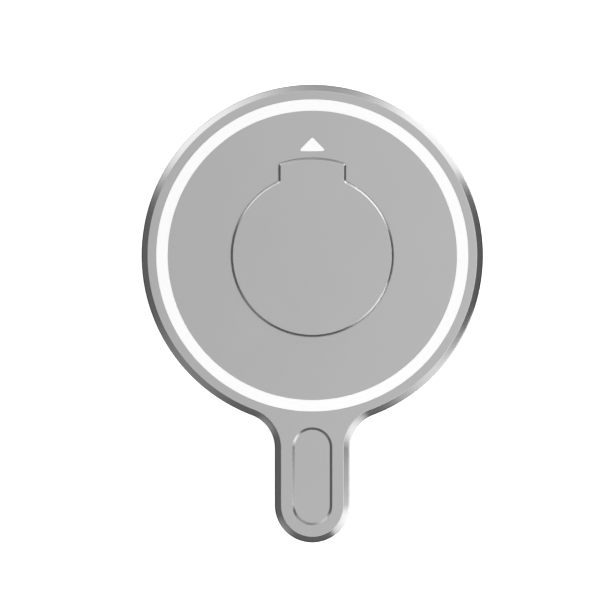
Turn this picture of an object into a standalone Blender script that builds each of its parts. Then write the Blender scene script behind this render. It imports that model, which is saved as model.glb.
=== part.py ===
"""Magnetic phone mount for a camera gimbal: a round disc with a short handle.

The phone lies against the soft pad underneath (-Z). The gimbal's arm holds the raised keyhole
boss on top (+Z). The handle points along -Y, and the arrow and the boss's tab along +Y.
The origin is the disc's centre, on the plane that the pad rests on.
"""

import math

import bmesh
import bpy

MM = 0.001

# Boss, seen from above: a round plate with a tab, held from inside by screws in its ledge
BOSS_MAGNET_COUNT = 4
BOSS_MAGNET_RADIUS = 3.5 * MM
BOSS_MAGNET_WEB = 0.8 * MM
HOLDER_RIM = 0.8 * MM
BOSS_LEDGE = 4.03 * MM
BOSS_TAB_HALF_WIDTH = 6.0 * MM
BOSS_TAB_LENGTH = 2.91 * MM
BOSS_CORNER_RADIUS = 0.5 * MM
BOSS_FILLET_RADIUS = 0.45 * MM

# White arrow beyond the boss's tab
ARROW_GAP = 1.18 * MM
ARROW_HEIGHT = 2.58 * MM
ARROW_HALF_WIDTH = 2.55 * MM
ARROW_CORNER_RADIUS = 0.29 * MM

# White ring and rim of the disc, counted outwards from the arrow's point
FACE_BAND = 4.66 * MM
INLAY_WIDTH = 2.08 * MM
RIM_BAND = 2.66 * MM

# Handle, counted outwards from the white ring to its round tip
RECESS_START = 2.81 * MM
RECESS_LENGTH = 17.56 * MM
RECESS_WIDTH = 7.17 * MM
RECESS_MARGIN = 3.13 * MM
HANDLE_FILLET_RADIUS = 6.3 * MM

# Magnets for the phone
RING_MAGNET_COUNT = 18
RING_MAGNET_WIDTH = 4.0 * MM
RING_MAGNET_MARGIN = 3.5 * MM
ALIGNMENT_MAGNET_WIDTH = 4.6 * MM
ALIGNMENT_MAGNET_LENGTH = 14.0 * MM

# Heights, stacked upwards from the plane that the pad rests on
PAD_PROUD = 0.4 * MM
PAD_SUNK = 0.6 * MM
COVER_THICKNESS = 0.8 * MM
MAGNET_HEIGHT = 2.2 * MM
YOKE_THICKNESS = 0.6 * MM
KEEPER_THICKNESS = 0.9 * MM
FACE_WALL = 1.4 * MM
BOSS_RISE = 0.7 * MM
BOSS_SKIN = 0.8 * MM

# Depths cut into the top face
BOSS_SEAT_DEPTH = 1.5 * MM
INLAY_DEPTH = 0.5 * MM
RECESS_DEPTH = 0.31 * MM
RECESS_SLOPE = 0.47 * MM

# Edges and walls
BODY_WALL = 1.2 * MM
RIM_CHAMFER_WIDTH = 1.13 * MM
RIM_CHAMFER_DROP = 0.78 * MM
BOSS_CHAMFER_WIDTH = 0.34 * MM
BOSS_CHAMFER_DROP = 0.34 * MM
FOOT_CHAMFER = 0.3 * MM
PAD_CHAMFER = 0.25 * MM

# Screws that hold the boss
SCREW_COUNT = 4
SCREW_RADIUS = 0.8 * MM
SCREW_HEAD_RADIUS = 1.3 * MM
SCREW_HEAD_HEIGHT = 1.0 * MM
SCREW_WEB = 1.2 * MM
SOCKET_FLAT_RADIUS = 0.55 * MM
SOCKET_DEPTH = 0.6 * MM
SCREW_POINT = 0.2 * MM

# Clearances
SEAT_GAP = 0.2 * MM
INLAY_GAP = 0.1 * MM
MAGNET_GAP = 0.2 * MM
CUT_OVERSHOOT = 1.0 * MM

# Smallest corner radius that an outline keeps when it is offset
LEAST_RADIUS = 0.02 * MM

# Edges that turn by more than this stay sharp in the shading
SHARP_ANGLE = math.radians(30)

# Steps along round stretches
DISC_STEPS = 96
HANDLE_FILLET_STEPS = 10
TIP_STEPS = 24
BOSS_STEPS = 64
BOSS_CORNER_STEPS = 4
SMALL_ROUND_STEPS = 32
SCREW_STEPS = 24
ARROW_CORNER_STEPS = 5
MAGNET_STEPS = 5

# Radii and reaches that follow from the sizes above
HOLDER_PITCH_RADIUS = (BOSS_MAGNET_RADIUS + MAGNET_GAP + BOSS_MAGNET_WEB / 2) / math.sin(
    math.pi / BOSS_MAGNET_COUNT
)
HOLDER_RADIUS = HOLDER_PITCH_RADIUS + BOSS_MAGNET_RADIUS + MAGNET_GAP + HOLDER_RIM
OPENING_RADIUS = HOLDER_RADIUS + SEAT_GAP
BOSS_RADIUS = OPENING_RADIUS + BOSS_LEDGE
SCREW_CIRCLE_RADIUS = OPENING_RADIUS + BOSS_LEDGE / 2
TAB_RADIUS = BOSS_RADIUS + BOSS_TAB_LENGTH
ARROW_BASE = TAB_RADIUS + ARROW_GAP
ARROW_POINT = ARROW_BASE + ARROW_HEIGHT
INLAY_INNER_RADIUS = ARROW_POINT + FACE_BAND
INLAY_OUTER_RADIUS = INLAY_INNER_RADIUS + INLAY_WIDTH
DISC_RADIUS = INLAY_OUTER_RADIUS + RIM_BAND
RECESS_RADIUS = RECESS_WIDTH / 2
RECESS_TOP_CENTRE = INLAY_OUTER_RADIUS + RECESS_START + RECESS_RADIUS
RECESS_LOW_CENTRE = INLAY_OUTER_RADIUS + RECESS_START + RECESS_LENGTH - RECESS_RADIUS
RECESS_CENTRE = (RECESS_TOP_CENTRE + RECESS_LOW_CENTRE) / 2
HANDLE_HALF_WIDTH = RECESS_RADIUS + RECESS_MARGIN
RING_MAGNET_OUTER_RADIUS = DISC_RADIUS - RING_MAGNET_MARGIN
RING_MAGNET_INNER_RADIUS = RING_MAGNET_OUTER_RADIUS - RING_MAGNET_WIDTH

# Heights that follow from the sizes above
PAD_TOP = PAD_PROUD + PAD_SUNK
COVER_BOTTOM = PAD_TOP + SEAT_GAP
COVER_TOP = COVER_BOTTOM + COVER_THICKNESS
REBATE_CEILING = COVER_TOP + SEAT_GAP
MAGNET_TOP = REBATE_CEILING + MAGNET_HEIGHT
YOKE_BOTTOM = MAGNET_TOP + SEAT_GAP
YOKE_TOP = YOKE_BOTTOM + YOKE_THICKNESS
POCKET_CEILING = YOKE_TOP + SEAT_GAP
FACE = POCKET_CEILING + FACE_WALL
SEAT_FLOOR = FACE - BOSS_SEAT_DEPTH
BOSS_BOTTOM = SEAT_FLOOR + INLAY_GAP
BOSS_TOP = FACE + BOSS_RISE
BOSS_CEILING = BOSS_TOP - BOSS_SKIN
KEEPER_TOP = REBATE_CEILING + KEEPER_THICKNESS
HOLDER_BOTTOM = KEEPER_TOP + SEAT_GAP
HOLDER_TOP = BOSS_CEILING - SEAT_GAP
SCREW_SEAT = SEAT_FLOOR - SCREW_WEB
SCREW_TIP = BOSS_CEILING - SEAT_GAP


def clear_scene():
    for obj in list(bpy.data.objects):
        bpy.data.objects.remove(obj, do_unlink=True)


def finish(name, grey, roughness, metallic):
    """A grey Principled material."""
    material = bpy.data.materials.new(name)
    material.use_nodes = True
    shader = material.node_tree.nodes["Principled BSDF"]
    shader.inputs["Base Color"].default_value = (grey, grey, grey, 1.0)
    shader.inputs["Roughness"].default_value = roughness
    shader.inputs["Metallic"].default_value = metallic
    return material


# Outlines, each a list of (x, y) points that runs counter-clockwise


def arc(centre, radius, start, end, steps):
    """Points along an arc between two angles in radians, both ends included."""
    angles = [start + (end - start) * step / steps for step in range(steps + 1)]
    return [(centre[0] + radius * math.cos(a), centre[1] + radius * math.sin(a)) for a in angles]


def circle(radius, steps):
    return arc((0.0, 0.0), radius, 0.0, 2 * math.pi, steps)[:-1]


def mirrored(points):
    """The same points on the other side of the Y axis, in the opposite order."""
    return [(-x, y) for x, y in reversed(points)]


def body_outline(inset):
    """Disc and handle, moved inwards by the inset."""
    disc = DISC_RADIUS - inset
    tip = HANDLE_HALF_WIDTH - inset
    fillet = HANDLE_FILLET_RADIUS + inset
    fillet_x = tip + fillet
    fillet_y = -math.sqrt((disc + fillet) ** 2 - fillet_x**2)
    meeting = math.atan2(-fillet_y, fillet_x)
    right_fillet = arc(
        (fillet_x, fillet_y), fillet, math.pi, math.pi - meeting, HANDLE_FILLET_STEPS
    )
    disc_arc = arc((0.0, 0.0), disc, -meeting, math.pi + meeting, DISC_STEPS)
    tip_arc = arc((0.0, -RECESS_LOW_CENTRE), tip, math.pi, 2 * math.pi, TIP_STEPS)
    return disc_arc[:-1] + mirrored(right_fillet) + tip_arc + right_fillet[:-1]


def boss_outline(inset):
    """Round plate with a tab towards +Y, moved inwards by the inset."""
    side = BOSS_TAB_HALF_WIDTH - inset
    top = TAB_RADIUS - inset
    round_part = BOSS_RADIUS - inset
    corner = max(BOSS_CORNER_RADIUS - inset, LEAST_RADIUS)
    fillet = max(BOSS_FILLET_RADIUS + inset, LEAST_RADIUS)
    corner_x = side - corner
    corner_y = math.sqrt((top - corner) ** 2 - corner_x**2)
    corner_end = math.atan2(corner_y, corner_x)
    fillet_x = side + fillet
    fillet_y = math.sqrt((round_part + fillet) ** 2 - fillet_x**2)
    meeting = math.atan2(fillet_y, fillet_x)
    right_side = arc(
        (fillet_x, fillet_y), fillet, math.pi + meeting, math.pi, BOSS_CORNER_STEPS
    ) + arc((corner_x, corner_y), corner, 0.0, corner_end, BOSS_CORNER_STEPS)
    top_arc = arc((0.0, 0.0), top, corner_end, math.pi - corner_end, 2 * BOSS_CORNER_STEPS)
    round_arc = arc((0.0, 0.0), round_part, math.pi - meeting, 2 * math.pi + meeting, BOSS_STEPS)
    return right_side + top_arc[1:-1] + mirrored(right_side) + round_arc[1:-1]


def recess_outline(inset):
    """Pill along the handle, moved inwards by the inset."""
    radius = RECESS_RADIUS - inset
    top = arc((0.0, -RECESS_TOP_CENTRE), radius, 0.0, math.pi, TIP_STEPS)
    low = arc((0.0, -RECESS_LOW_CENTRE), radius, math.pi, 2 * math.pi, TIP_STEPS)
    return top + low


def arrow_outline(growth):
    """Triangle with round corners that points along +Y, moved outwards by the growth."""
    half_point = math.atan2(ARROW_HALF_WIDTH, ARROW_HEIGHT)
    half_foot = (math.pi / 2 - half_point) / 2
    point = (0.0, ARROW_POINT - ARROW_CORNER_RADIUS / math.sin(half_point))
    foot_x = ARROW_HALF_WIDTH - ARROW_CORNER_RADIUS / math.tan(half_foot)
    foot_y = ARROW_BASE + ARROW_CORNER_RADIUS
    radius = ARROW_CORNER_RADIUS + growth
    right = arc((foot_x, foot_y), radius, -math.pi / 2, half_point, ARROW_CORNER_STEPS)
    top = arc(point, radius, half_point, math.pi - half_point, ARROW_CORNER_STEPS)
    return right + top + mirrored(right)


def box_outline(half_x, half_y, centre_y):
    return [
        (half_x, centre_y - half_y),
        (half_x, centre_y + half_y),
        (-half_x, centre_y + half_y),
        (-half_x, centre_y - half_y),
    ]


def arc_block_outline(inner, outer, half_angle):
    """Block cut from a ring, centred on the +X axis."""
    outside = arc((0.0, 0.0), outer, -half_angle, half_angle, MAGNET_STEPS)
    inside = arc((0.0, 0.0), inner, half_angle, -half_angle, MAGNET_STEPS)
    return outside + inside


def hexagon(flat_radius, steps):
    """Hexagon with its points spread over as many steps as the circle round it."""
    points = []
    for step in range(steps):
        angle = 2 * math.pi * step / steps
        from_flat = angle % (math.pi / 3) - math.pi / 6
        radius = flat_radius / math.cos(from_flat)
        points.append((radius * math.cos(angle), radius * math.sin(angle)))
    return points


# Solids


def loft_mesh(name, levels, closed=False):
    """Closed mesh through levels of (outline, height), each outline with as many points.

    The levels run upwards on the outside. Where closed is set, the last level joins the first
    and makes a ring. Otherwise the first and the last level are capped.
    """
    mesh = bpy.data.meshes.new(name)
    shape = bmesh.new()
    loops = [[shape.verts.new((x, y, height)) for x, y in outline] for outline, height in levels]
    pairs = list(zip(loops, loops[1:]))
    if closed:
        pairs.append((loops[-1], loops[0]))
    else:
        shape.faces.new(list(reversed(loops[0])))
        shape.faces.new(loops[-1])
    for lower, upper in pairs:
        count = len(lower)
        for i in range(count):
            j = (i + 1) % count
            shape.faces.new((lower[i], lower[j], upper[j], upper[i]))
    shape.to_mesh(mesh)
    shape.free()
    mesh.shade_smooth()
    mesh.set_sharp_from_angle(angle=SHARP_ANGLE)
    return mesh


def place(name, mesh, parent, location=(0.0, 0.0, 0.0)):
    obj = bpy.data.objects.new(name, mesh)
    bpy.context.scene.collection.objects.link(obj)
    obj.location = location
    obj.parent = parent
    return obj


def add_piece(name, mesh, material, parent, location=(0.0, 0.0, 0.0)):
    """A piece of the mount. Like pieces share one mesh, which takes its material once."""
    if not mesh.materials:
        mesh.materials.append(material)
    return place(name, mesh, parent, location)


def prism_mesh(name, outline, bottom, top):
    return loft_mesh(name, [(outline, bottom), (outline, top)])


def ring_mesh(name, inner, outer, bottom, top, steps):
    levels = [
        (circle(outer, steps), bottom),
        (circle(outer, steps), top),
        (circle(inner, steps), top),
        (circle(inner, steps), bottom),
    ]
    return loft_mesh(name, levels, closed=True)


def cut(target, name, mesh, location=(0.0, 0.0, 0.0)):
    """Takes a hidden cutter away from the target."""
    cutter = place(f"cut_{name}", mesh, target.parent, location)
    cutter.hide_render = True
    cutter.display_type = "WIRE"
    modifier = target.modifiers.new(name, "BOOLEAN")
    modifier.operation = "DIFFERENCE"
    modifier.solver = "EXACT"
    modifier.object = cutter


def around(radius, count, first_angle):
    """Places spread evenly round the Z axis."""
    angles = [first_angle + 2 * math.pi * i / count for i in range(count)]
    return [(radius * math.cos(angle), radius * math.sin(angle), 0.0) for angle in angles]


def screw_places():
    """The screws sit on the diagonals, clear of the tab's middle."""
    return around(SCREW_CIRCLE_RADIUS, SCREW_COUNT, math.pi / SCREW_COUNT)


# Sub-parts


def make_body(material, parent):
    """Disc and handle, machined from one piece, with its pockets open towards the phone."""
    levels = [
        (body_outline(FOOT_CHAMFER), PAD_PROUD),
        (body_outline(0.0), PAD_PROUD + FOOT_CHAMFER),
        (body_outline(0.0), FACE - RIM_CHAMFER_DROP),
        (body_outline(RIM_CHAMFER_WIDTH), FACE),
    ]
    body = add_piece("body", loft_mesh("body", levels), material, parent)
    cut_phone_side(body)
    cut_gimbal_side(body)


def cut_phone_side(body):
    below = PAD_PROUD - CUT_OVERSHOOT
    rebate = prism_mesh("rebate", body_outline(BODY_WALL), below, REBATE_CEILING)
    cut(body, "rebate", rebate)
    groove = ring_mesh(
        "ring_groove",
        RING_MAGNET_INNER_RADIUS - SEAT_GAP,
        RING_MAGNET_OUTER_RADIUS + SEAT_GAP,
        below,
        POCKET_CEILING,
        DISC_STEPS,
    )
    cut(body, "ring_groove", groove)
    slot = box_outline(
        ALIGNMENT_MAGNET_WIDTH / 2 + SEAT_GAP,
        ALIGNMENT_MAGNET_LENGTH / 2 + SEAT_GAP,
        -RECESS_CENTRE,
    )
    cut(body, "alignment_slot", prism_mesh("alignment_slot", slot, below, POCKET_CEILING))
    opening = circle(OPENING_RADIUS, BOSS_STEPS)
    cut(body, "opening", prism_mesh("opening", opening, below, FACE + CUT_OVERSHOOT))
    head_hole = circle(SCREW_HEAD_RADIUS + SEAT_GAP, SCREW_STEPS)
    head_mesh = prism_mesh("screw_head_hole", head_hole, below, SCREW_SEAT)
    shank_hole = circle(SCREW_RADIUS + SEAT_GAP, SCREW_STEPS)
    shank_mesh = prism_mesh("screw_hole", shank_hole, below, FACE + CUT_OVERSHOOT)
    for number, location in enumerate(screw_places(), start=1):
        cut(body, f"screw_head_hole_{number}", head_mesh, location)
        cut(body, f"screw_hole_{number}", shank_mesh, location)


def cut_gimbal_side(body):
    above = FACE + CUT_OVERSHOOT
    seat = prism_mesh("boss_seat", boss_outline(-INLAY_GAP), SEAT_FLOOR, above)
    cut(body, "boss_seat", seat)
    groove = ring_mesh(
        "inlay_groove",
        INLAY_INNER_RADIUS - INLAY_GAP,
        INLAY_OUTER_RADIUS + INLAY_GAP,
        FACE - INLAY_DEPTH - INLAY_GAP,
        above,
        DISC_STEPS,
    )
    cut(body, "inlay_groove", groove)
    pocket = prism_mesh(
        "arrow_pocket", arrow_outline(INLAY_GAP), FACE - INLAY_DEPTH - INLAY_GAP, above
    )
    cut(body, "arrow_pocket", pocket)
    recess = loft_mesh(
        "handle_recess",
        [
            (recess_outline(RECESS_SLOPE), FACE - RECESS_DEPTH),
            (recess_outline(0.0), FACE),
            (recess_outline(0.0), above),
        ],
    )
    cut(body, "handle_recess", recess)


def make_boss(material, parent):
    """Keyhole plate, hollow behind for the magnets, with a blind hole for each screw."""
    levels = [
        (boss_outline(0.0), BOSS_BOTTOM),
        (boss_outline(0.0), BOSS_TOP - BOSS_CHAMFER_DROP),
        (boss_outline(BOSS_CHAMFER_WIDTH), BOSS_TOP),
    ]
    boss = add_piece("gimbal_boss", loft_mesh("gimbal_boss", levels), material, parent)
    below = BOSS_BOTTOM - CUT_OVERSHOOT
    hollow = prism_mesh("boss_hollow", circle(OPENING_RADIUS, BOSS_STEPS), below, BOSS_CEILING)
    cut(boss, "boss_hollow", hollow)
    hole = circle(SCREW_RADIUS + INLAY_GAP, SCREW_STEPS)
    hole_mesh = prism_mesh("boss_screw_hole", hole, below, BOSS_CEILING)
    for number, location in enumerate(screw_places(), start=1):
        cut(boss, f"boss_screw_hole_{number}", hole_mesh, location)


def make_inlays(material, parent):
    """White ring and white arrow, flush with the face."""
    bottom = FACE - INLAY_DEPTH
    ring = ring_mesh(
        "ring_inlay", INLAY_INNER_RADIUS, INLAY_OUTER_RADIUS, bottom, FACE, DISC_STEPS
    )
    add_piece("ring_inlay", ring, material, parent)
    arrow = prism_mesh("arrow_inlay", arrow_outline(0.0), bottom, FACE)
    add_piece("arrow_inlay", arrow, material, parent)


def make_ring_magnets(material, parent):
    """Arc-shaped magnets set end to end round the disc."""
    half_gap = MAGNET_GAP / 2 / RING_MAGNET_INNER_RADIUS
    half_angle = math.pi / RING_MAGNET_COUNT - half_gap
    outline = arc_block_outline(RING_MAGNET_INNER_RADIUS, RING_MAGNET_OUTER_RADIUS, half_angle)
    mesh = prism_mesh("ring_magnet", outline, REBATE_CEILING, MAGNET_TOP)
    for i in range(RING_MAGNET_COUNT):
        magnet = add_piece(f"ring_magnet_{i + 1:02d}", mesh, material, parent)
        magnet.rotation_euler.z = math.pi / 2 + 2 * math.pi * i / RING_MAGNET_COUNT


def make_alignment_magnet(material, parent):
    outline = box_outline(ALIGNMENT_MAGNET_WIDTH / 2, ALIGNMENT_MAGNET_LENGTH / 2, 0.0)
    mesh = prism_mesh("alignment_magnet", outline, REBATE_CEILING, MAGNET_TOP)
    add_piece("alignment_magnet", mesh, material, parent, (0.0, -RECESS_CENTRE, 0.0))


def make_yokes(material, parent):
    """Steel behind the magnets: a ring for the disc and a strip for the handle."""
    ring = ring_mesh(
        "ring_yoke",
        RING_MAGNET_INNER_RADIUS,
        RING_MAGNET_OUTER_RADIUS,
        YOKE_BOTTOM,
        YOKE_TOP,
        DISC_STEPS,
    )
    add_piece("ring_yoke", ring, material, parent)
    outline = box_outline(ALIGNMENT_MAGNET_WIDTH / 2, ALIGNMENT_MAGNET_LENGTH / 2, 0.0)
    strip = prism_mesh("alignment_yoke", outline, YOKE_BOTTOM, YOKE_TOP)
    add_piece("alignment_yoke", strip, material, parent, (0.0, -RECESS_CENTRE, 0.0))


def make_boss_magnets(magnet_finish, holder_finish, steel_finish, parent):
    """Disc magnets in a moulded holder, with a steel keeper plate behind them."""
    holder_mesh = prism_mesh(
        "magnet_holder", circle(HOLDER_RADIUS, BOSS_STEPS), HOLDER_BOTTOM, HOLDER_TOP
    )
    holder = add_piece("magnet_holder", holder_mesh, holder_finish, parent)
    hole_mesh = prism_mesh(
        "magnet_hole",
        circle(BOSS_MAGNET_RADIUS + MAGNET_GAP, SMALL_ROUND_STEPS),
        HOLDER_BOTTOM - CUT_OVERSHOOT,
        HOLDER_TOP + CUT_OVERSHOOT,
    )
    magnet_mesh = prism_mesh(
        "boss_magnet", circle(BOSS_MAGNET_RADIUS, SMALL_ROUND_STEPS), HOLDER_BOTTOM, HOLDER_TOP
    )
    for number, location in enumerate(around(HOLDER_PITCH_RADIUS, BOSS_MAGNET_COUNT, 0.0), start=1):
        cut(holder, f"magnet_hole_{number}", hole_mesh, location)
        add_piece(f"boss_magnet_{number}", magnet_mesh, magnet_finish, parent, location)
    keeper = prism_mesh(
        "keeper_plate", circle(HOLDER_RADIUS, BOSS_STEPS), REBATE_CEILING, KEEPER_TOP
    )
    add_piece("keeper_plate", keeper, steel_finish, parent)


def make_screws(material, parent):
    """Socket-head screws that go up through the body into the boss."""
    head_top = SCREW_SEAT - INLAY_GAP
    head_bottom = head_top - SCREW_HEAD_HEIGHT
    levels = [
        (hexagon(SOCKET_FLAT_RADIUS, SCREW_STEPS), head_bottom + SOCKET_DEPTH),
        (hexagon(SOCKET_FLAT_RADIUS, SCREW_STEPS), head_bottom),
        (circle(SCREW_HEAD_RADIUS, SCREW_STEPS), head_bottom),
        (circle(SCREW_HEAD_RADIUS, SCREW_STEPS), head_top),
        (circle(SCREW_RADIUS, SCREW_STEPS), head_top),
        (circle(SCREW_RADIUS, SCREW_STEPS), SCREW_TIP - SCREW_POINT),
        (circle(SCREW_RADIUS - SCREW_POINT, SCREW_STEPS), SCREW_TIP),
    ]
    mesh = loft_mesh("boss_screw", levels)
    for number, location in enumerate(screw_places(), start=1):
        add_piece(f"boss_screw_{number}", mesh, material, parent, location)


def make_cover(material, parent):
    """Thin plate in the rebate that closes the magnets in."""
    outline = body_outline(BODY_WALL + SEAT_GAP)
    mesh = prism_mesh("cover_plate", outline, COVER_BOTTOM, COVER_TOP)
    add_piece("cover_plate", mesh, material, parent)


def make_pad(material, parent):
    """Soft pad in the same rebate. It stands proud of the body, so the phone meets only it."""
    inset = BODY_WALL + SEAT_GAP
    levels = [
        (body_outline(inset + PAD_CHAMFER), 0.0),
        (body_outline(inset), PAD_CHAMFER),
        (body_outline(inset), PAD_TOP),
    ]
    add_piece("contact_pad", loft_mesh("contact_pad", levels), material, parent)


def main():
    clear_scene()
    mount = bpy.data.objects.new("phone_mount", None)
    bpy.context.scene.collection.objects.link(mount)
    anodised = finish("anodised_aluminium", 0.45, 0.35, 1.0)
    white = finish("white_inlay", 0.93, 0.4, 0.0)
    magnet = finish("magnet_nickel", 0.6, 0.25, 1.0)
    steel = finish("steel", 0.5, 0.4, 1.0)
    holder_plastic = finish("holder_plastic", 0.03, 0.5, 0.0)
    cover_plastic = finish("cover_plastic", 0.04, 0.55, 0.0)
    silicone = finish("pad_silicone", 0.06, 0.7, 0.0)

    make_body(anodised, mount)
    make_boss(anodised, mount)
    make_inlays(white, mount)
    make_ring_magnets(magnet, mount)
    make_alignment_magnet(magnet, mount)
    make_yokes(steel, mount)
    make_boss_magnets(magnet, holder_plastic, steel, mount)
    make_screws(steel, mount)
    make_cover(cover_plastic, mount)
    make_pad(silicone, mount)


main()
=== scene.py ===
"""Looks of the magnetic gimbal phone mount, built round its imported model.

Lengths are in metres. +Z is the gimbal side, +Y points from the disc's centre to the arrow, and
azimuths are counted from +X towards +Y.
"""

import math

import bmesh
import bpy
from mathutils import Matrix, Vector


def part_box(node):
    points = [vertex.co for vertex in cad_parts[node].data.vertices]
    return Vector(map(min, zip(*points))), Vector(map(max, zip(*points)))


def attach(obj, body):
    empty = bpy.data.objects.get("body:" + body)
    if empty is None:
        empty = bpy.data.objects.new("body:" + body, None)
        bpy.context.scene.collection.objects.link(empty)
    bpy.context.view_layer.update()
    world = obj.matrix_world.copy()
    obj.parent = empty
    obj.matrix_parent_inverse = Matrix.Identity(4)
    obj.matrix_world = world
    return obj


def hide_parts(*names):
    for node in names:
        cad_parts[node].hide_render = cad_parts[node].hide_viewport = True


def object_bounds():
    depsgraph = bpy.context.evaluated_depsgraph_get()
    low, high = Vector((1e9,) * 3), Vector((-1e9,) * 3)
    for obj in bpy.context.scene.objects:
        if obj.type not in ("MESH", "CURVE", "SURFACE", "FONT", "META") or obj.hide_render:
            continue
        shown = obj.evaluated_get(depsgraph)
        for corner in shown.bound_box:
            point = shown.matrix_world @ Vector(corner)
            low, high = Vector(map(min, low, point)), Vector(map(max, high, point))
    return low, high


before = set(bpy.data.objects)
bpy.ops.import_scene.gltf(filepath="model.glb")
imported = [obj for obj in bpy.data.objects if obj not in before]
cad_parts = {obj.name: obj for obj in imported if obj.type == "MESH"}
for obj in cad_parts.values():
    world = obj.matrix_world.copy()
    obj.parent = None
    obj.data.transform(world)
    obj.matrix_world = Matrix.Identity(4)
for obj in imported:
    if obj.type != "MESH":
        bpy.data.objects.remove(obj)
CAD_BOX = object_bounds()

MM = 0.001
BODY = "root"

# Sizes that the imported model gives
SCREW_COUNT = 4
BODY_LOW, BODY_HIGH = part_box("body")
BOSS_LOW, BOSS_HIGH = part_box("gimbal_boss")
RING_LOW, RING_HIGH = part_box("ring_inlay")
ARROW_LOW, ARROW_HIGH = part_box("arrow_inlay")
PAD_LOW, PAD_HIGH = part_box("contact_pad")
BAR_LOW, BAR_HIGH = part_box("alignment_magnet")
COVER_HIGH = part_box("cover_plate")[1]
YOKE_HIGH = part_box("ring_yoke")[1]
HOLDER_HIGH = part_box("magnet_holder")[1]
SCREWS = [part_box(f"boss_screw_{number}") for number in range(1, SCREW_COUNT + 1)]

FOOT = BODY_LOW.z
FACE = BODY_HIGH.z
DISC_RADIUS = BODY_HIGH.y
HANDLE_REACH = -BODY_LOW.y
BOSS_RADIUS = -BOSS_LOW.y
TAB_RADIUS = BOSS_HIGH.y
INLAY_OUTER_RADIUS = RING_HIGH.y
ARROW_BASE = ARROW_LOW.y
ARROW_TOP = ARROW_HIGH.y

# Outlines
HANDLE_HALF_WIDTH = 6.715 * MM
HANDLE_FILLET_RADIUS = 6.3 * MM
BOSS_TAB_HALF_WIDTH = 6.0 * MM
BOSS_CORNER_RADIUS = 0.5 * MM
BOSS_FILLET_RADIUS = 0.45 * MM
RECESS_RADIUS = 3.585 * MM
RECESS_LENGTH = 17.56 * MM
INLAY_WIDTH = 2.08 * MM
ARROW_HEIGHT = 2.58 * MM
ARROW_HALF_WIDTH = 2.55 * MM
ARROW_CORNER_RADIUS = 0.29 * MM

# Sloped edges, each by its width across and its drop, and the 45-degree ones by one length
RIM_CHAMFER = (1.13 * MM, 0.78 * MM)
BOSS_CHAMFER = (0.34 * MM, 0.34 * MM)
RECESS_SLOPE = (0.47 * MM, 0.31 * MM)
FOOT_CHAMFER = 0.3 * MM
PAD_CHAMFER = 0.25 * MM
INLAY_BEVEL = 0.03 * MM

# Radii that round off the edges
RIM_ROUND = 0.5 * MM
EDGE_ROUND = 0.12 * MM
BOSS_ROUND = 0.07 * MM
FOOT_ROUND = 0.04 * MM
PAD_ROUND = 0.15 * MM
LEAST_RADIUS = 0.02 * MM

# Pockets and gaps
BODY_WALL = 1.2 * MM
RING_MAGNET_WIDTH = 4.0 * MM
BOSS_SEAT_DEPTH = 1.5 * MM
BOSS_SKIN = 0.8 * MM
SCREW_RADIUS = 0.8 * MM
SCREW_WEB = 1.2 * MM
RECESS_FLOOR_EDGE = 0.04 * MM
SEAT_GAP = 0.2 * MM
INLAY_GAP = 0.1 * MM
INLAY_LINE = 0.02 * MM
BOSS_LINE = 0.05 * MM
CUT_OVERSHOOT = 1.0 * MM

# Steps along round stretches
DISC_STEPS = 320
FILLET_STEPS = 36
TIP_STEPS = 96
BOSS_STEPS = 220
CORNER_STEPS = 10
TAB_TOP_STEPS = 40
ROUND_STEPS = 5
SMALL_STEPS = 48

# Shading: edges that turn by more than this stay sharp, and a face is sloped where the upright
# part of its normal lies between these two
SHARP_ANGLE = math.radians(32)
WALL_NORMAL = 0.05
FLAT_NORMAL = 0.985

# Most values of a noise texture lie between these two
NOISE_LOW = 0.3
NOISE_HIGH = 0.7

# Light from all round, by elevations in degrees: dark below and beside, soft light from overhead
# that leans towards +X, and a brighter band round its foot
DARK_BELOW = 0.03
DARK_SIDE = 0.205
HORIZON = 3.5
HORIZON_SOFTNESS = 8.5
OVERHEAD = 0.872
OVERHEAD_LEAN = 1.87
OVERHEAD_START = 42.0
BAND_LIGHT = 1.27
BAND_END = 62.0
OVERHEAD_SOFTNESS = 8.0
BACKDROP = 1.0

# Broad lights round the sides: start and end azimuth in degrees, how soft the start and the end
# are, elevation of the top, and brightness
SIDE_LIGHTS = (
    (28.0, 152.0, 5.0, 11.0, 30.0, 0.58),
    (107.0, 151.0, 22.0, 11.0, 30.0, 1.45),
    (207.0, 236.0, 9.0, 9.0, 20.0, 0.40),
    (165.0, 302.0, 8.0, 8.0, 24.0, 0.05),
)
SIDE_LIGHT_FOOT = -40.0
SIDE_LIGHT_FOOT_SOFTNESS = 10.0
SIDE_LIGHT_TOP_SOFTNESS = 8.0

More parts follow.
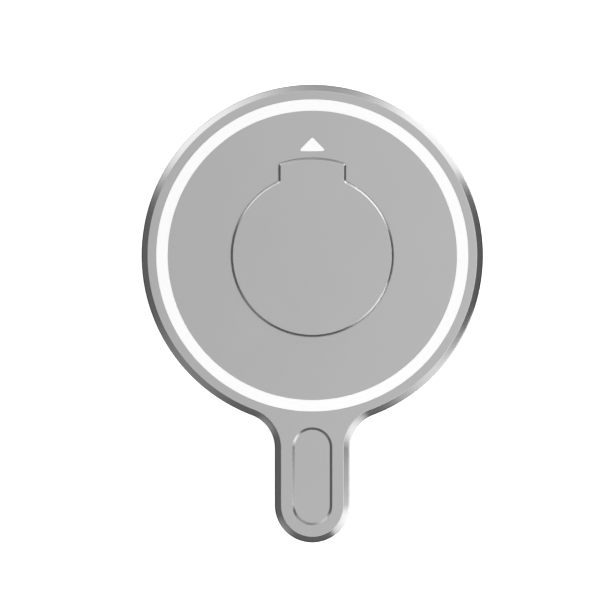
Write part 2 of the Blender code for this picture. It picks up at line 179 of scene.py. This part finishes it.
# Rows of softboxes that stand on edge, in millimetres: the corner where a row starts, the azimuth
# in degrees that it faces, the height of its foot, and each box by where it starts and ends along
# the row, the height of its top, and its brightness. The first row is beside the handle, and the
# third is beyond the disc's upper right. A low row stands just before each of the two and lights
# the steep edge of the boss.
SOFTBOX_ROWS = (
    {
        "corner": (74.5, -37.0),
        "azimuth": 188.0,
        "foot": -60.0,
        "boxes": (
            (0.0, 12.0, 50.0, 0.65),
            (12.0, 22.0, 50.0, 1.25),
            (22.0, 34.0, 72.0, 1.90),
            (34.0, 55.0, 72.0, 2.25),
            (55.0, 95.0, 72.0, 2.40),
            (95.0, 120.0, 72.0, 2.70),
            (120.0, 150.0, 72.0, 2.85),
        ),
    },
    {
        "corner": (72.5, -37.3),
        "azimuth": 188.0,
        "foot": -14.0,
        "boxes": (
            (-12.0, 0.0, 14.0, 2.20),
            (0.0, 22.0, 14.0, 2.30),
            (22.0, 100.0, 14.0, 1.00),
            (100.0, 130.0, 14.0, 0.40),
        ),
    },
    {
        "corner": (50.0, 137.0),
        "azimuth": 225.0,
        "foot": -74.0,
        "boxes": (
            (-30.0, -12.0, 76.0, 0.15),
            (-12.0, 2.0, 76.0, 0.35),
            (2.0, 16.0, 76.0, 0.65),
            (16.0, 30.0, 76.0, 1.00),
            (30.0, 98.0, 76.0, 1.30),
            (98.0, 110.0, 76.0, 0.55),
        ),
    },
    {
        "corner": (48.6, 135.6),
        "azimuth": 225.0,
        "foot": -20.0,
        "boxes": (
            (26.0, 90.0, 22.0, 0.90),
            (90.0, 106.0, 22.0, 1.40),
            (106.0, 125.0, 22.0, 1.70),
        ),
    },
)

# Angle over which a softbox's grid lets its light out, in radians
SOFTBOX_SPREAD = 2 * math.atan(3.0)

# Floor, in metres
FLOOR_HALF_SIZE = 3.0
FLOOR_GREY = 0.8
FLOOR_GLOW = 0.8

# The photograph: its size in pixels, the pixel of the disc's centre, and millimetres a pixel
PHOTO_SIZE = 600
PHOTO_DISC_CENTRE = (312.3, 255.4)
MM_PER_PIXEL = 0.17889
CAMERA_LENS = 200.0
CAMERA_SENSOR = 36.0

# Sizes that follow from those above
ARROW_HALF_POINT = math.atan2(ARROW_HALF_WIDTH, ARROW_HEIGHT)
SCREW_SEAT = FACE - BOSS_SEAT_DEPTH - SCREW_WEB
TIP_CENTRE = -(HANDLE_REACH - HANDLE_HALF_WIDTH)
RECESS_LOW_CENTRE = TIP_CENTRE
RECESS_TOP_CENTRE = TIP_CENTRE + RECESS_LENGTH - 2 * RECESS_RADIUS


# Outlines, each a list of (x, y) points that runs counter-clockwise


def arc(centre, radius, start, end, steps):
    """Points along an arc between two angles, both ends included."""
    angles = [start + (end - start) * step / steps for step in range(steps + 1)]
    return [(centre[0] + radius * math.cos(a), centre[1] + radius * math.sin(a)) for a in angles]


def circle(radius, steps, centre=(0.0, 0.0)):
    return arc(centre, radius, 0.0, 2 * math.pi, steps)[:-1]


def mirrored(points):
    """The same points on the other side of the Y axis, in the opposite order."""
    return [(-x, y) for x, y in reversed(points)]


def body_outline(inset):
    """Disc and handle, moved inwards by the inset."""
    disc = DISC_RADIUS - inset
    tip = HANDLE_HALF_WIDTH - inset
    fillet = HANDLE_FILLET_RADIUS + inset
    fillet_x = tip + fillet
    fillet_y = -math.sqrt((disc + fillet) ** 2 - fillet_x**2)
    meeting = math.atan2(-fillet_y, fillet_x)
    right_fillet = arc((fillet_x, fillet_y), fillet, math.pi, math.pi - meeting, FILLET_STEPS)
    disc_arc = arc((0.0, 0.0), disc, -meeting, math.pi + meeting, DISC_STEPS)
    tip_arc = arc((0.0, TIP_CENTRE), tip, math.pi, 2 * math.pi, TIP_STEPS)
    return disc_arc[:-1] + mirrored(right_fillet) + tip_arc + right_fillet[:-1]


def boss_outline(inset):
    """Round plate with a tab towards +Y, moved inwards by the inset."""
    side = BOSS_TAB_HALF_WIDTH - inset
    top = TAB_RADIUS - inset
    round_part = BOSS_RADIUS - inset
    corner = max(BOSS_CORNER_RADIUS - inset, LEAST_RADIUS)
    fillet = max(BOSS_FILLET_RADIUS + inset, LEAST_RADIUS)
    corner_x = side - corner
    corner_y = math.sqrt((top - corner) ** 2 - corner_x**2)
    corner_end = math.atan2(corner_y, corner_x)
    fillet_x = side + fillet
    fillet_y = math.sqrt((round_part + fillet) ** 2 - fillet_x**2)
    meeting = math.atan2(fillet_y, fillet_x)
    right_fillet = arc((fillet_x, fillet_y), fillet, math.pi + meeting, math.pi, CORNER_STEPS)
    right_corner = arc((corner_x, corner_y), corner, 0.0, corner_end, CORNER_STEPS)
    right_side = right_fillet + right_corner
    top_arc = arc((0.0, 0.0), top, corner_end, math.pi - corner_end, TAB_TOP_STEPS)
    round_arc = arc((0.0, 0.0), round_part, math.pi - meeting, 2 * math.pi + meeting, BOSS_STEPS)
    return right_side + top_arc[1:-1] + mirrored(right_side) + round_arc[1:-1]


def recess_outline(inset):
    """Pill along the handle, moved inwards by the inset."""
    radius = RECESS_RADIUS - inset
    top = arc((0.0, RECESS_TOP_CENTRE), radius, 0.0, math.pi, TIP_STEPS)
    low = arc((0.0, RECESS_LOW_CENTRE), radius, math.pi, 2 * math.pi, TIP_STEPS)
    return top + low


def arrow_outline(growth):
    """Triangle with round corners that points along +Y, moved outwards by the growth."""
    half_foot = math.pi / 4 - ARROW_HALF_POINT / 2
    point = (0.0, ARROW_TOP - ARROW_CORNER_RADIUS)
    sharp_top = point[1] + ARROW_CORNER_RADIUS / math.sin(ARROW_HALF_POINT)
    half_width = (sharp_top - ARROW_BASE) * math.tan(ARROW_HALF_POINT)
    foot_x = half_width - ARROW_CORNER_RADIUS / math.tan(half_foot)
    foot = (foot_x, ARROW_BASE + ARROW_CORNER_RADIUS)
    radius = ARROW_CORNER_RADIUS + growth
    right = arc(foot, radius, -math.pi / 2, ARROW_HALF_POINT, CORNER_STEPS)
    top = arc(point, radius, ARROW_HALF_POINT, math.pi - ARROW_HALF_POINT, CORNER_STEPS)
    return right + top + mirrored(right)


def box_outline(low, high, gap):
    right, top, left, bottom = high.x + gap, high.y + gap, low.x - gap, low.y - gap
    return [(right, bottom), (right, top), (left, top), (left, bottom)]


def centre_of(low, high):
    """Centre of a box, seen from above."""
    return ((low.x + high.x) / 2, (low.y + high.y) / 2)


# Profiles and solids


def rounded(corners, radii):
    """Profile of (inset, height) points. Each corner between the two ends becomes an arc."""
    points = [Vector(corners[0])]
    for before, corner, after, radius in zip(corners, corners[1:], corners[2:], radii):
        corner = Vector(corner)
        back = (Vector(before) - corner).normalized()
        ahead = (Vector(after) - corner).normalized()
        half = back.angle(ahead) / 2
        centre = corner + (back + ahead).normalized() * radius / math.sin(half)
        start = corner + back * radius / math.tan(half) - centre
        end = corner + ahead * radius / math.tan(half) - centre
        turn = start.angle_signed(end)
        for step in range(ROUND_STEPS + 1):
            share = -turn * step / ROUND_STEPS
            cosine, sine = math.cos(share), math.sin(share)
            across = start.x * cosine - start.y * sine
            up = start.x * sine + start.y * cosine
            points.append(centre + Vector((across, up)))
    points.append(Vector(corners[-1]))
    return [(point.x, point.y) for point in points]


def loft(name, levels, closed=False):
    """Closed mesh through levels of (outline, height), each outline with as many points.

    The levels run upwards on the outside. Where closed is set, the last level joins the first
    and makes a ring. Otherwise the first and the last level are capped.
    """
    mesh = bpy.data.meshes.new(name)
    shape = bmesh.new()
    loops = [[shape.verts.new((x, y, height)) for x, y in outline] for outline, height in levels]
    pairs = list(zip(loops, loops[1:]))
    if closed:
        pairs.append((loops[-1], loops[0]))
    else:
        shape.faces.new(list(reversed(loops[0])))
        shape.faces.new(loops[-1])
    for lower, upper in pairs:
        for i in range(len(lower)):
            j = (i + 1) % len(lower)
            shape.faces.new((lower[i], lower[j], upper[j], upper[i]))
    shape.to_mesh(mesh)
    shape.free()
    return mesh


def profile_loft(name, outline, profile):
    return loft(name, [(outline(inset), height) for inset, height in profile])


def prism(name, outline, bottom, top):
    return loft(name, [(outline, bottom), (outline, top)])


def ring(name, inner, outer, bottom, top, bevel=0.0):
    """Flat ring. With a bevel, its two upper edges are cut off by that much."""
    corners = [(outer, bottom), (outer - bevel, top), (inner + bevel, top), (inner, bottom)]
    if bevel:
        corners.insert(1, (outer, top - bevel))
        corners.insert(-1, (inner, top - bevel))
    levels = [(circle(radius, DISC_STEPS), height) for radius, height in corners]
    return loft(name, levels, closed=True)


def link(name, data):
    """A new object in the scene that holds the mesh, light or camera."""
    thing = bpy.data.objects.new(name, data)
    bpy.context.scene.collection.objects.link(thing)
    return thing


def carved(name, mesh, cutters):
    """The mesh less its cutters, as a new mesh."""
    whole = link(name, mesh)
    group = bpy.data.collections.new(f"{name}_cutters")
    tools = [bpy.data.objects.new(cutter.name, cutter) for cutter in cutters]
    for tool in tools:
        group.objects.link(tool)
    bpy.context.scene.collection.children.link(group)
    modifier = whole.modifiers.new("pockets", "BOOLEAN")
    modifier.operation = "DIFFERENCE"
    modifier.solver = "EXACT"
    modifier.operand_type = "COLLECTION"
    modifier.collection = group
    result = bpy.data.meshes.new_from_object(
        whole.evaluated_get(bpy.context.evaluated_depsgraph_get())
    )
    for tool in tools + [whole]:
        bpy.data.objects.remove(tool, do_unlink=True)
    bpy.data.collections.remove(group)
    return result


def dressed(name, mesh, materials, node):
    """A finished piece in place of a node. Its sloped faces take the second material."""
    for material in materials:
        mesh.materials.append(material)
    for face in mesh.polygons:
        sloped = WALL_NORMAL < abs(face.normal.z) < FLAT_NORMAL
        face.material_index = int(sloped and len(materials) > 1)
    mesh.shade_smooth()
    mesh.set_sharp_from_angle(angle=SHARP_ANGLE)
    piece = link(name, mesh)
    normals = piece.modifiers.new("normals", "WEIGHTED_NORMAL")
    normals.keep_sharp = True
    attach(piece, BODY)
    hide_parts(node)


# Pieces


def phone_side_cutters():
    """Pockets open towards the phone: rebate, ring groove, bar slot, opening and screw holes."""
    below = FOOT - CUT_OVERSHOOT
    above = FACE + CUT_OVERSHOOT
    rebate_ceiling = COVER_HIGH.z + SEAT_GAP
    pocket_ceiling = YOKE_HIGH.z + SEAT_GAP
    groove_outer = YOKE_HIGH.y + SEAT_GAP
    groove_inner = YOKE_HIGH.y - RING_MAGNET_WIDTH - SEAT_GAP
    opening = HOLDER_HIGH.x + SEAT_GAP
    cutters = [
        prism("rebate", body_outline(BODY_WALL), below, rebate_ceiling),
        ring("ring_groove", groove_inner, groove_outer, below, pocket_ceiling),
        prism("bar_slot", box_outline(BAR_LOW, BAR_HIGH, SEAT_GAP), below, pocket_ceiling),
        prism("opening", circle(opening, BOSS_STEPS), below, above),
    ]
    for low, high in SCREWS:
        centre = centre_of(low, high)
        head = circle((high.x - low.x) / 2 + SEAT_GAP, SMALL_STEPS, centre)
        shank = circle(SCREW_RADIUS + SEAT_GAP, SMALL_STEPS, centre)
        cutters.append(prism("head_hole", head, below, SCREW_SEAT))
        cutters.append(prism("shank_hole", shank, below, above))
    return cutters


def gimbal_side_cutters():
    """Boss seat, grooves for the inlays and the recess in the handle.

    The recess's profile runs on above the face, so that its upper edge comes out round.
    """
    above = FACE + CUT_OVERSHOOT
    groove_floor = RING_LOW.z - INLAY_GAP
    groove_inner = INLAY_OUTER_RADIUS - INLAY_WIDTH - INLAY_LINE
    groove_outer = INLAY_OUTER_RADIUS + INLAY_LINE
    slope_width, slope_depth = RECESS_SLOPE
    recess = rounded(
        [
            (slope_width + RECESS_FLOOR_EDGE, FACE - slope_depth),
            (slope_width, FACE - slope_depth),
            (0.0, FACE),
            (-slope_width, FACE + EDGE_ROUND),
        ],
        [LEAST_RADIUS, EDGE_ROUND],
    )
    return [
        prism("boss_seat", boss_outline(-BOSS_LINE), FACE - BOSS_SEAT_DEPTH, above),
        ring("ring_inlay_groove", groove_inner, groove_outer, groove_floor, above),
        prism("arrow_pocket", arrow_outline(INLAY_LINE), groove_floor, above),
        profile_loft("handle_recess", recess_outline, recess),
    ]


def make_body(materials):
    """Disc with its handle, chamfered round the rim and the foot."""
    chamfer_width, chamfer_drop = RIM_CHAMFER
    profile = rounded(
        [
            (FOOT_CHAMFER + EDGE_ROUND, FOOT),
            (FOOT_CHAMFER, FOOT),
            (0.0, FOOT + FOOT_CHAMFER),
            (0.0, FACE - chamfer_drop),
            (chamfer_width, FACE),
            (chamfer_width + EDGE_ROUND, FACE),
        ],
        [FOOT_ROUND, EDGE_ROUND, RIM_ROUND, EDGE_ROUND],
    )
    blank = profile_loft("body_blank", body_outline, profile)
    mesh = carved("body_blank", blank, phone_side_cutters() + gimbal_side_cutters())
    dressed("machined_body", mesh, materials, "body")


def make_boss(materials):
    """Keyhole plate, hollow behind for its magnets and drilled for its screws."""
    chamfer_width, chamfer_drop = BOSS_CHAMFER
    low, high = BOSS_LOW.z, BOSS_HIGH.z
    profile = rounded(
        [
            (0.0, low),
            (0.0, high - chamfer_drop),
            (chamfer_width, high),
            (chamfer_width + BOSS_ROUND, high),
        ],
        [BOSS_ROUND, BOSS_ROUND],
    )
    blank = profile_loft("boss_blank", boss_outline, profile)
    below = low - CUT_OVERSHOOT
    ceiling = high - BOSS_SKIN
    opening = circle(HOLDER_HIGH.x + SEAT_GAP, BOSS_STEPS)
    cutters = [prism("boss_hollow", opening, below, ceiling)]
    for screw_low, screw_high in SCREWS:
        hole = circle(SCREW_RADIUS + INLAY_GAP, SMALL_STEPS, centre_of(screw_low, screw_high))
        cutters.append(prism("boss_screw_hole", hole, below, ceiling))
    mesh = carved("boss_blank", blank, cutters)
    dressed("machined_boss", mesh, materials, "gimbal_boss")


def make_inlays(material):
    """White ring and white arrow, flush with the face."""
    inner = INLAY_OUTER_RADIUS - INLAY_WIDTH
    band = ring("white_ring", inner, INLAY_OUTER_RADIUS, RING_LOW.z, RING_HIGH.z, INLAY_BEVEL)
    dressed("white_ring", band, [material], "ring_inlay")
    levels = [
        (arrow_outline(0.0), ARROW_LOW.z),
        (arrow_outline(0.0), ARROW_HIGH.z - INLAY_BEVEL),
        (arrow_outline(-INLAY_BEVEL), ARROW_HIGH.z),
    ]
    arrow = loft("white_arrow", levels)
    dressed("white_arrow", arrow, [material], "arrow_inlay")


def make_pad(material):
    """Soft pad, let into the body's foot and proud of it."""
    inset = BODY_WALL + SEAT_GAP
    profile = rounded(
        [
            (inset + PAD_CHAMFER + PAD_ROUND, PAD_LOW.z),
            (inset + PAD_CHAMFER, PAD_LOW.z),
            (inset, PAD_LOW.z + PAD_CHAMFER),
            (inset, PAD_HIGH.z),
        ],
        [PAD_ROUND, PAD_ROUND],
    )
    mesh = profile_loft("silicone_pad", body_outline, profile)
    dressed("silicone_pad", mesh, [material], "contact_pad")


# Materials


class Graph:
    """Short calls that add nodes to a tree. An input is a number, a tuple or a socket."""

    def __init__(self, tree):
        self.tree = tree
        tree.nodes.clear()

    def add(self, kind, inputs, **settings):
        node = self.tree.nodes.new(kind)
        for name, value in settings.items():
            setattr(node, name, value)
        for name, value in inputs.items():
            if isinstance(value, bpy.types.NodeSocket):
                self.tree.links.new(value, node.inputs[name])
            else:
                node.inputs[name].default_value = value
        return node

    def math(self, operation, *values):
        inputs = dict(enumerate(values))
        return self.add("ShaderNodeMath", inputs, operation=operation).outputs[0]

    def ramp(self, value, start, end, low=0.0, high=1.0, smooth=False):
        """Value from start to end turned into low to high, and held beyond both."""
        inputs = {"Value": value, "From Min": start, "From Max": end, "To Min": low, "To Max": high}
        kind = "SMOOTHSTEP" if smooth else "LINEAR"
        node = self.add("ShaderNodeMapRange", inputs, interpolation_type=kind)
        return node.outputs["Result"]

    def noise(self, vector, size, detail=2.0, roughness=0.5):
        """Noise whose grains are about that size."""
        inputs = {"Vector": vector, "Scale": 1 / size, "Detail": detail, "Roughness": roughness}
        return self.add("ShaderNodeTexNoise", inputs).outputs[0]

    def stretched(self, vector, x, y, z):
        inputs = {0: vector, 1: (x, y, z)}
        return self.add("ShaderNodeVectorMath", inputs, operation="MULTIPLY").outputs[0]

    def tint(self, value, dark, light):
        """Colour between two tints. The Mix node's colours are its inputs 6 and 7."""
        inputs = {0: value, 6: (*dark, 1.0), 7: (*light, 1.0)}
        return self.add("ShaderNodeMix", inputs, data_type="RGBA").outputs[2]

    def either(self, choice, first, second):
        """First number where the choice is 0, second where it is 1."""
        return self.add("ShaderNodeMix", {0: choice, 2: first, 3: second}).outputs[0]

    def bump(self, height, distance):
        inputs = {"Height": height, "Distance": distance, "Strength": 1.0}
        return self.add("ShaderNodeBump", inputs).outputs[0]


def new_material(name):
    """A material, its graph and the object's own coordinates in it."""
    material = bpy.data.materials.new(name)
    material.use_nodes = True
    graph = Graph(material.node_tree)
    place = graph.add("ShaderNodeTexCoord", {}).outputs["Object"]
    return material, graph, place


def shade(graph, **inputs):
    """Principled shader to the output. An underscore in an input's name stands for a space."""
    names = {name.replace("_", " "): value for name, value in inputs.items()}
    shader = graph.add("ShaderNodeBsdfPrincipled", names)
    graph.add("ShaderNodeOutputMaterial", {"Surface": shader.outputs[0]})


def grey(value):
    return (value, value, value)


def anodised_material():
    """Bead-blasted and anodised: an even satin grey with a very fine grain."""
    material, graph, place = new_material("anodised_satin")
    cloud = graph.noise(place, size=9 * MM, detail=3.0)
    grain = graph.noise(place, size=0.09 * MM)
    shade(
        graph,
        Base_Color=graph.tint(cloud, dark=grey(0.44), light=grey(0.46)),
        Metallic=1.0,
        Roughness=graph.ramp(grain, NOISE_LOW, NOISE_HIGH, low=0.36, high=0.41),
        Normal=graph.bump(grain, distance=0.0008 * MM),
    )
    return material


def machined_material():
    """Edges cut after the blasting: smoother, with tool lines that run along the edge."""
    material, graph, place = new_material("machined_edge")
    height = graph.stretched(place, 0.0, 0.0, 1.0)
    lines = graph.noise(height, size=0.03 * MM)
    cloud = graph.noise(place, size=4 * MM)
    shade(
        graph,
        Base_Color=graph.tint(cloud, dark=grey(0.49), light=grey(0.51)),
        Metallic=1.0,
        Roughness=graph.ramp(lines, NOISE_LOW, NOISE_HIGH, low=0.19, high=0.24),
        Normal=graph.bump(lines, distance=0.0003 * MM),
    )
    return material


def inlay_material():
    """White resin, sanded flush with the face."""
    material, graph, place = new_material("white_resin")
    cloud = graph.noise(place, size=5 * MM, detail=3.0)
    grain = graph.noise(place, size=0.15 * MM)
    shade(
        graph,
        Base_Color=graph.tint(cloud, dark=grey(0.95), light=grey(0.97)),
        Roughness=graph.ramp(grain, NOISE_LOW, NOISE_HIGH, low=0.38, high=0.46),
        Normal=graph.bump(grain, distance=0.0008 * MM),
    )
    return material


def nickel_material():
    """Nickel plating with faint clouds and hairline scuffs."""
    material, graph, place = new_material("nickel_plating")
    cloud = graph.noise(place, size=1.5 * MM, detail=4.0, roughness=0.6)
    scuffs = graph.noise(graph.stretched(place, 1.0, 14.0, 1.0), size=0.8 * MM, detail=3.0)
    shade(
        graph,
        Base_Color=graph.tint(cloud, dark=(0.56, 0.56, 0.54), light=(0.64, 0.64, 0.62)),
        Metallic=1.0,
        Roughness=graph.ramp(scuffs, NOISE_LOW, 0.8, low=0.18, high=0.32),
        Normal=graph.bump(scuffs, distance=0.0006 * MM),
    )
    return material


def steel_material():
    """Rolled steel with lines along X."""
    material, graph, place = new_material("brushed_steel")
    lines = graph.noise(graph.stretched(place, 1.0, 40.0, 40.0), size=2 * MM, detail=3.0)
    cloud = graph.noise(place, size=3 * MM, detail=3.0)
    shade(
        graph,
        Base_Color=graph.tint(cloud, dark=grey(0.46), light=grey(0.53)),
        Metallic=1.0,
        Roughness=graph.ramp(lines, NOISE_LOW, NOISE_HIGH, low=0.3, high=0.45),
        Normal=graph.bump(lines, distance=0.0012 * MM),
    )
    return material


def plastic_material(name, level):
    """Moulded plastic with a fine spark-eroded texture."""
    material, graph, place = new_material(name)
    grain = graph.noise(place, size=0.12 * MM)
    cloud = graph.noise(place, size=6 * MM, detail=3.0)
    shade(
        graph,
        Base_Color=graph.tint(cloud, dark=grey(level * 0.85), light=grey(level * 1.15)),
        Roughness=graph.ramp(grain, NOISE_LOW, NOISE_HIGH, low=0.48, high=0.6),
        Normal=graph.bump(grain, distance=0.003 * MM),
    )
    return material


def silicone_material():
    """Matt silicone: soft sheen, a fine pebbled skin and a little dust."""
    material, graph, place = new_material("matt_silicone")
    pebble_inputs = {"Vector": place, "Scale": 1 / (0.35 * MM)}
    pebbles = graph.add("ShaderNodeTexVoronoi", pebble_inputs, feature="SMOOTH_F1")
    dust = graph.noise(place, size=7 * MM, detail=5.0, roughness=0.6)
    shade(
        graph,
        Base_Color=graph.tint(dust, dark=grey(0.05), light=grey(0.07)),
        Roughness=graph.ramp(dust, NOISE_LOW, NOISE_HIGH, low=0.62, high=0.72),
        Normal=graph.bump(pebbles.outputs["Distance"], distance=0.008 * MM),
        Sheen_Weight=0.15,
        Sheen_Roughness=0.4,
    )
    return material


def dress_node(name, material):
    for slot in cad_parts[name].material_slots:
        slot.material = material


def dress_inner_nodes():
    """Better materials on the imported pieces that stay: magnets, steel and moulded plastic."""
    nickel = nickel_material()
    steel = steel_material()
    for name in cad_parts:
        if "magnet" in name and name != "magnet_holder":
            dress_node(name, nickel)
        elif "yoke" in name or "screw" in name or name == "keeper_plate":
            dress_node(name, steel)
    dress_node("magnet_holder", plastic_material("holder_moulding", 0.03))
    dress_node("cover_plate", plastic_material("cover_moulding", 0.04))


# Studio


def soft_step(graph, angle, middle, softness, low=0.0, high=1.0):
    """Low below an angle in degrees and high above it, with a smooth turn to either side of it."""
    start = math.radians(middle - softness)
    end = math.radians(middle + softness)
    return graph.ramp(angle, start, end, low, high, smooth=True)


def window(graph, angle, start, end, soft_start, soft_end):
    """One between two angles in degrees, with soft ends, and zero outside."""
    rise = soft_step(graph, angle, start, soft_start)
    fall = soft_step(graph, angle, end, soft_end, 1.0, 0.0)
    return graph.math("MULTIPLY", rise, fall)


def make_world():
    """Soft light from above, broad lights round the sides, and dark between and below them."""
    world = bpy.data.worlds.new("studio")
    world.use_nodes = True
    graph = Graph(world.node_tree)
    direction = graph.add("ShaderNodeTexCoord", {}).outputs["Generated"]
    parts = graph.add("ShaderNodeSeparateXYZ", {0: direction}).outputs
    elevation = graph.math("ARCSINE", parts["Z"])
    azimuth = graph.math("ARCTAN2", parts["Y"], parts["X"])
    azimuth = graph.math("FLOORED_MODULO", azimuth, 2 * math.pi)
    total = soft_step(graph, elevation, HORIZON, HORIZON_SOFTNESS, DARK_BELOW, DARK_SIDE)
    for start, end, soft_start, soft_end, top, strength in SIDE_LIGHTS:
        across = window(graph, azimuth, start, end, soft_start, soft_end)
        up = window(
            graph,
            elevation,
            SIDE_LIGHT_FOOT,
            top,
            SIDE_LIGHT_FOOT_SOFTNESS,
            SIDE_LIGHT_TOP_SOFTNESS,
        )
        light = graph.math("MULTIPLY", across, up)
        total = graph.math("ADD", total, graph.math("MULTIPLY", light, strength))
    above = soft_step(graph, elevation, OVERHEAD_START, OVERHEAD_SOFTNESS)
    lean = graph.math("MULTIPLY_ADD", parts["X"], OVERHEAD_LEAN, OVERHEAD)
    total = graph.math("ADD", total, graph.math("MULTIPLY", above, lean))
    band = window(
        graph, elevation, OVERHEAD_START, BAND_END, OVERHEAD_SOFTNESS, OVERHEAD_SOFTNESS
    )
    total = graph.math("ADD", total, graph.math("MULTIPLY", band, BAND_LIGHT))
    seen = graph.add("ShaderNodeLightPath", {}).outputs["Is Camera Ray"]
    strength = graph.either(seen, total, BACKDROP)
    background = graph.add("ShaderNodeBackground", {"Strength": strength})
    graph.add("ShaderNodeOutputWorld", {"Surface": background.outputs[0]})
    bpy.context.scene.world = world


def make_softboxes():
    """Gridded softboxes. A grid makes its lamp brighter straight ahead, by the gain."""
    half_spread = SOFTBOX_SPREAD / 2
    gain = math.tan(half_spread) / (math.tan(half_spread) - half_spread)
    for row in SOFTBOX_ROWS:
        azimuth = math.radians(row["azimuth"])
        facing = Vector((math.cos(azimuth), math.sin(azimuth), 0.0))
        along = facing.cross(Vector((0.0, 0.0, -1.0)))
        for start, end, top, strength in row["boxes"]:
            lamp = bpy.data.lights.new("softbox", "AREA")
            lamp.shape = "RECTANGLE"
            lamp.size = (end - start) * MM
            lamp.size_y = (top - row["foot"]) * MM
            lamp.spread = SOFTBOX_SPREAD
            lamp.energy = strength / gain * math.pi * lamp.size * lamp.size_y
            light = link("softbox", lamp)
            light.rotation_mode = "QUATERNION"
            light.rotation_quaternion = facing.to_track_quat("-Z", "Y")
            middle = Vector((*row["corner"], (row["foot"] + top) / 2)) + along * (start + end) / 2
            light.location = middle * MM


def make_floor():
    """Pale floor that glows a little. From below it isn't seen."""
    side = FLOOR_HALF_SIZE
    corners = [(-side, -side), (side, -side), (side, side), (-side, side)]
    mesh = bpy.data.meshes.new("floor")
    mesh.from_pydata([(x, y, CAD_BOX[0].z) for x, y in corners], [], [(0, 1, 2, 3)])
    material = bpy.data.materials.new("floor")
    material.use_nodes = True
    graph = Graph(material.node_tree)
    paint = graph.add(
        "ShaderNodeBsdfPrincipled",
        {
            "Base Color": (*grey(FLOOR_GREY), 1.0),
            "Roughness": 0.9,
            "Specular IOR Level": 0.0,
            "Emission Color": (1.0, 1.0, 1.0, 1.0),
            "Emission Strength": FLOOR_GLOW,
        },
    )
    clear = graph.add("ShaderNodeBsdfTransparent", {})
    back = graph.add("ShaderNodeNewGeometry", {}).outputs["Backfacing"]
    mix = graph.add("ShaderNodeMixShader", {0: back, 1: paint.outputs[0], 2: clear.outputs[0]})
    graph.add("ShaderNodeOutputMaterial", {"Surface": mix.outputs[0]})
    mesh.materials.append(material)
    floor = link("floor", mesh)
    floor.visible_glossy = False
    floor.visible_diffuse = False
    floor.visible_shadow = False


def make_camera():
    """Straight down on the gimbal side, from far enough to flatten the perspective."""
    half = PHOTO_SIZE / 2
    across = (half - PHOTO_DISC_CENTRE[0]) * MM_PER_PIXEL * MM
    up = (PHOTO_DISC_CENTRE[1] - half) * MM_PER_PIXEL * MM
    distance = PHOTO_SIZE * MM_PER_PIXEL * MM * CAMERA_LENS / CAMERA_SENSOR
    data = bpy.data.cameras.new("camera")
    data.lens = CAMERA_LENS
    data.sensor_width = CAMERA_SENSOR
    camera = link("camera", data)
    camera.location = (across, up, FACE + distance)
    bpy.context.scene.camera = camera
    bpy.context.scene.view_settings.view_transform = "Standard"


def main():
    satin = anodised_material()
    machined = machined_material()
    make_body([satin, machined])
    make_boss([satin, machined])
    make_inlays(inlay_material())
    make_pad(silicone_material())
    dress_inner_nodes()
    make_floor()
    make_world()
    make_softboxes()
    make_camera()


main()
